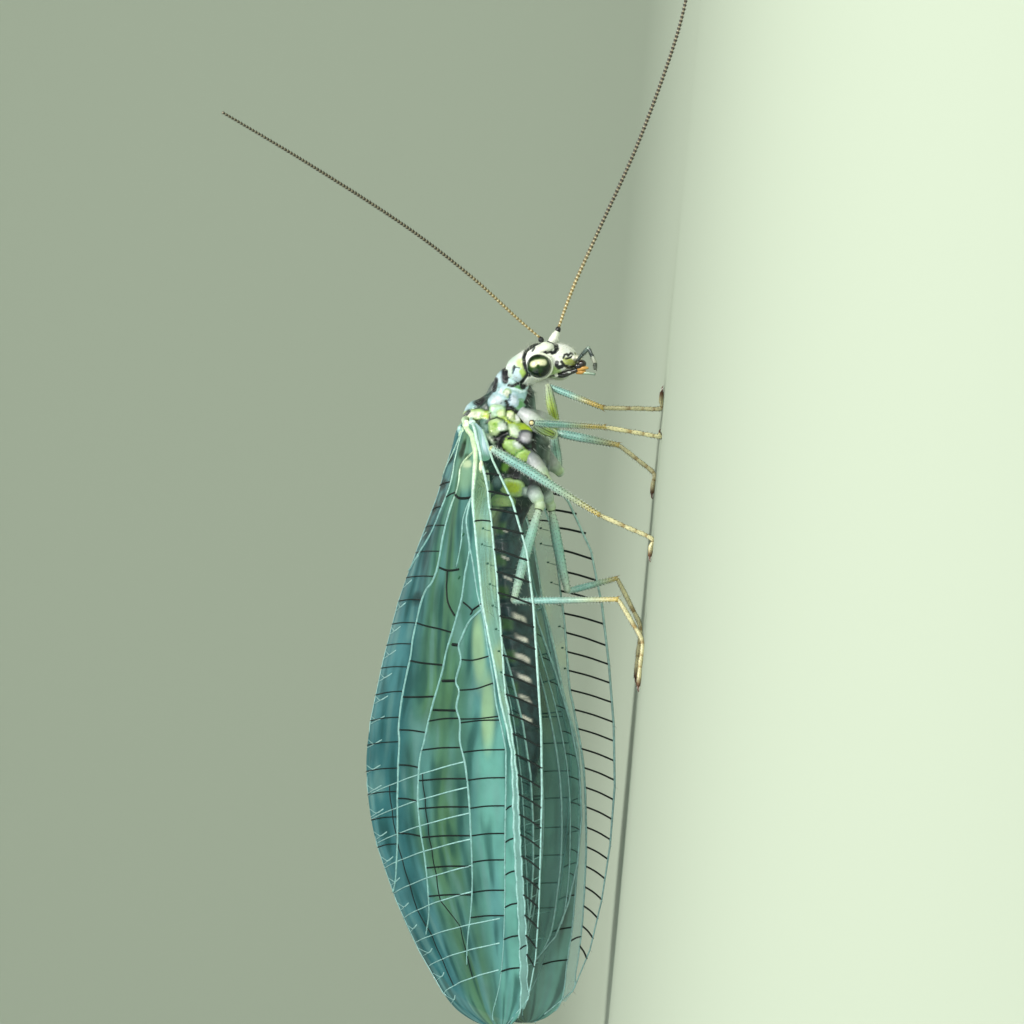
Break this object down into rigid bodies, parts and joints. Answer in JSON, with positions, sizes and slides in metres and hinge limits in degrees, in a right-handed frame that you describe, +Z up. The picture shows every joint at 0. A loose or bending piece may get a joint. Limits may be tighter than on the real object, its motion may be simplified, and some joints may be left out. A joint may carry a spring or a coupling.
{
  "type": "green lacewing model",
  "caption": "Life-size still model of a green lacewing standing with its clear, veined wings folded like a roof over its back.",
  "frame": {"origin": "centre of the model's bounding box at the floor", "axes": "+X forward along the body to the head, +Y to the insect's left, +Z up from the floor"},
  "size_m": [0.0242, 0.009, 0.01],
  "materials": {
    "body_pale": "satin cuticle",
    "eye": "glossy",
    "jaws": "satin cuticle",
    "feelers": "satin cuticle",
    "thorax": "satin cuticle",
    "abdomen": "satin cuticle",
    "wings": "clear veined membrane",
    "legs": "satin cuticle"
  },
  "bodies": {
    "root": {"head": "body_pale", "eye_right": "eye", "eye_left": "eye", "mouthparts": "jaws", "antenna_right": "feelers", "antenna_left": "feelers", "prothorax": "thorax", "mesothorax": "thorax", "metathorax": "thorax", "abdomen": "abdomen", "forewing_right": "wings", "hindwing_right": "wings", "forewing_left": "wings", "hindwing_left": "wings", "leg_fore_right": "legs", "leg_fore_left": "legs", "leg_mid_right": "legs", "leg_mid_left": "legs", "leg_hind_right": "legs", "leg_hind_left": "legs"}
  },
  "joints": []
}
